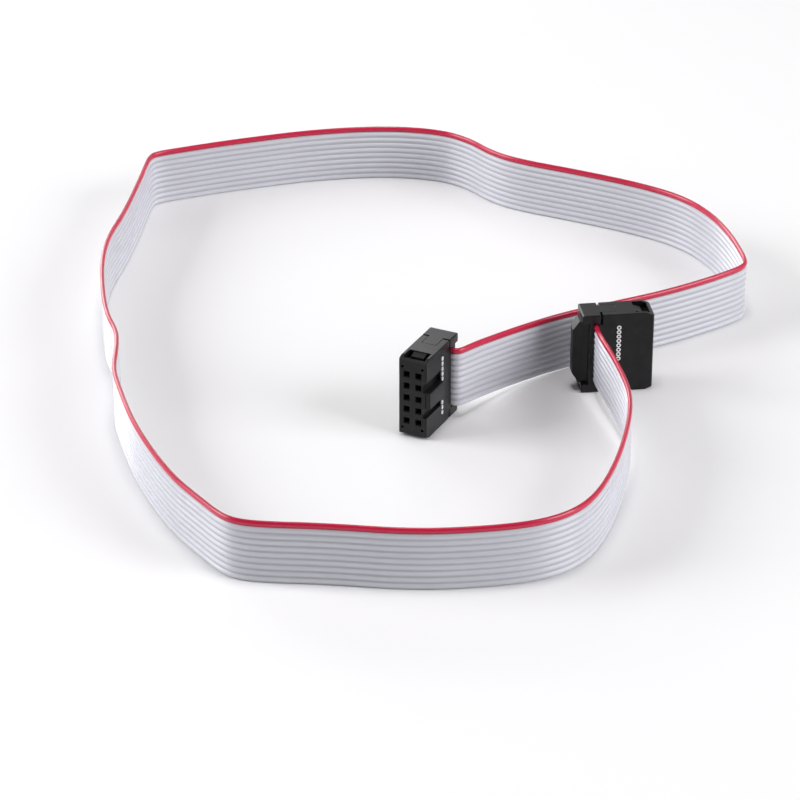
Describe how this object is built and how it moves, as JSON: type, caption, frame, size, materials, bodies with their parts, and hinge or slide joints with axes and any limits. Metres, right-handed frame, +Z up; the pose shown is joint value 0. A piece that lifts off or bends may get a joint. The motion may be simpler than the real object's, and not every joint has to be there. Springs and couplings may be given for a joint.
{
  "type": "ribbon cable",
  "caption": "Flat grey ribbon cable with one red edge wire and a black keyed two-row female socket clamped on each end, standing on its edge in a loose loop.",
  "frame": {"origin": "on the table, under the middle of the two sockets' common box", "axes": "+Z up, along the sockets' contact rows and across the ribbon's width; +X to the picture's right, along the longer side of the sockets' common box; +Y away from the camera"},
  "size_m": [0.1356, 0.1854, 0.0172],
  "materials": {
    "ribbon_grey": "satin",
    "ribbon_red": "satin",
    "socket_black": "satin",
    "contact_metal": "plated"
  },
  "bodies": {
    "root": {"ribbon_grey_wires": "ribbon_grey", "ribbon_red_wire": "ribbon_red", "socket_a_housing": "socket_black", "socket_a_cover": "socket_black", "socket_b_housing": "socket_black", "socket_b_cover": "socket_black", "socket_a_contact_01": "contact_metal", "socket_a_contact_02": "contact_metal", "socket_a_contact_03": "contact_metal", "socket_a_contact_04": "contact_metal", "socket_a_contact_05": "contact_metal", "socket_a_contact_06": "contact_metal", "socket_a_contact_07": "contact_metal", "socket_a_contact_08": "contact_metal", "socket_a_contact_09": "contact_metal", "socket_a_contact_10": "contact_metal", "socket_b_contact_01": "contact_metal", "socket_b_contact_02": "contact_metal", "socket_b_contact_03": "contact_metal", "socket_b_contact_04": "contact_metal", "socket_b_contact_05": "contact_metal", "socket_b_contact_06": "contact_metal", "socket_b_contact_07": "contact_metal", "socket_b_contact_08": "contact_metal", "socket_b_contact_09": "contact_metal", "socket_b_contact_10": "contact_metal"}
  },
  "joints": []
}
